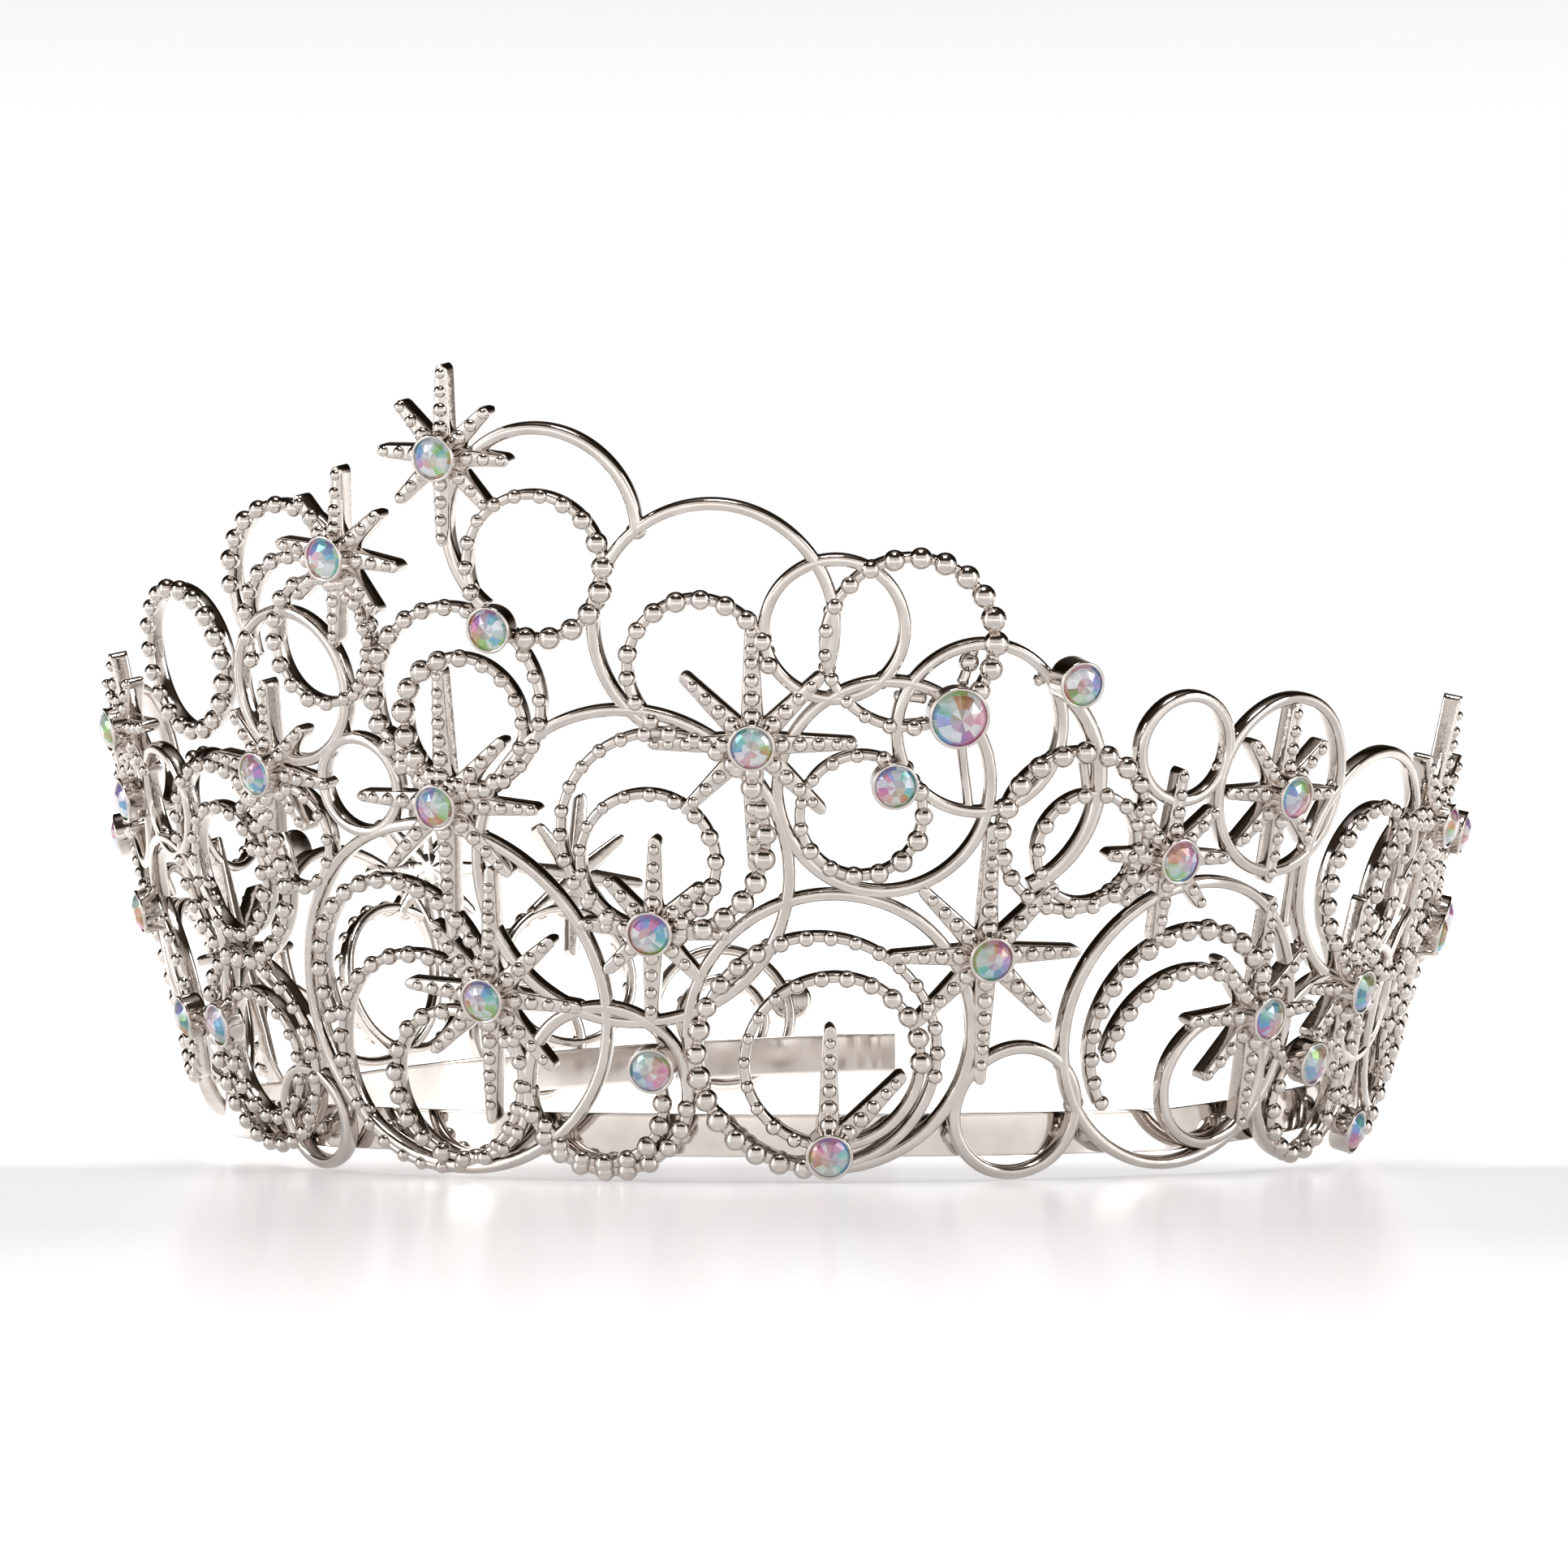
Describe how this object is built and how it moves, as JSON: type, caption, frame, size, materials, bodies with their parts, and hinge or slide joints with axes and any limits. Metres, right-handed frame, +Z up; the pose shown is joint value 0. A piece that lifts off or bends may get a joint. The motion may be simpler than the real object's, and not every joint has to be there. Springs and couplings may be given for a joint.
{
  "type": "crown",
  "caption": "Open-backed silver crown: a spring head band with soldered lacework of plain rings, beaded rings and beaded stars set with iridescent faceted stones.",
  "frame": {"origin": "middle of the head opening, at the level of the surface that the crown stands on", "axes": "+Z up, front of the crown at -Y, open back at +Y, wearer's left at +X"},
  "size_m": [0.1686, 0.1531, 0.0948],
  "materials": {
    "band_metal": "bright plated strip, polished, lightly brushed inside",
    "solder": "plated solder, slightly dull",
    "wire_metal": "bright plated round wire, polished",
    "bead_metal": "bright plated casting, polished beads",
    "star_metal": "bright plated casting, cast-skin texture between the beads",
    "cup_metal": "bright plated bezel, polished",
    "stone_glass": "faceted clear glass with an iridescent coating, foiled back"
  },
  "bodies": {
    "root": {"head_band": "band_metal", "solder_pads": "solder", "small_plain_rings": "wire_metal", "wire_sweep": "wire_metal", "tie_bars": "wire_metal", "plain_ring_1": "wire_metal", "plain_ring_2": "wire_metal", "plain_ring_3": "wire_metal", "plain_ring_4": "wire_metal", "plain_ring_5": "wire_metal", "plain_ring_6": "wire_metal", "plain_ring_7": "wire_metal", "plain_ring_8": "wire_metal", "plain_ring_9": "wire_metal", "plain_ring_10": "wire_metal", "plain_ring_11": "wire_metal", "plain_ring_12": "wire_metal", "plain_ring_13": "wire_metal", "plain_ring_14": "wire_metal", "plain_ring_15": "wire_metal", "plain_ring_16": "wire_metal", "plain_ring_17": "wire_metal", "plain_ring_18": "wire_metal", "bead_rail_1": "bead_metal", "bead_rail_2": "bead_metal", "bead_rail_3": "bead_metal", "bead_rail_4": "bead_metal", "bead_rail_5": "bead_metal", "bead_rail_6": "bead_metal", "bead_rail_7": "bead_metal", "bead_rail_8": "bead_metal", "bead_rail_9": "bead_metal", "bead_rail_10": "bead_metal", "bead_rail_11": "bead_metal", "bead_rail_12": "bead_metal", "bead_rail_13": "bead_metal", "bead_rail_14": "bead_metal", "bead_rail_15": "bead_metal", "bead_rail_16": "bead_metal", "bead_rail_17": "bead_metal", "bead_rail_18": "bead_metal", "bead_rail_19": "bead_metal", "bead_rail_20": "bead_metal", "bead_rail_21": "bead_metal", "bead_rail_22": "bead_metal", "bead_rail_23": "bead_metal", "small_bead_rails": "bead_metal", "large_ring_beads": "bead_metal", "small_ring_beads": "bead_metal", "upper_long_stars": "star_metal", "lower_long_stars": "star_metal", "short_stars": "star_metal", "low_star": "star_metal", "bezel_cups": "cup_metal", "large_bezel_cup": "cup_metal", "stones": "stone_glass", "large_stone": "stone_glass"}
  },
  "joints": []
}
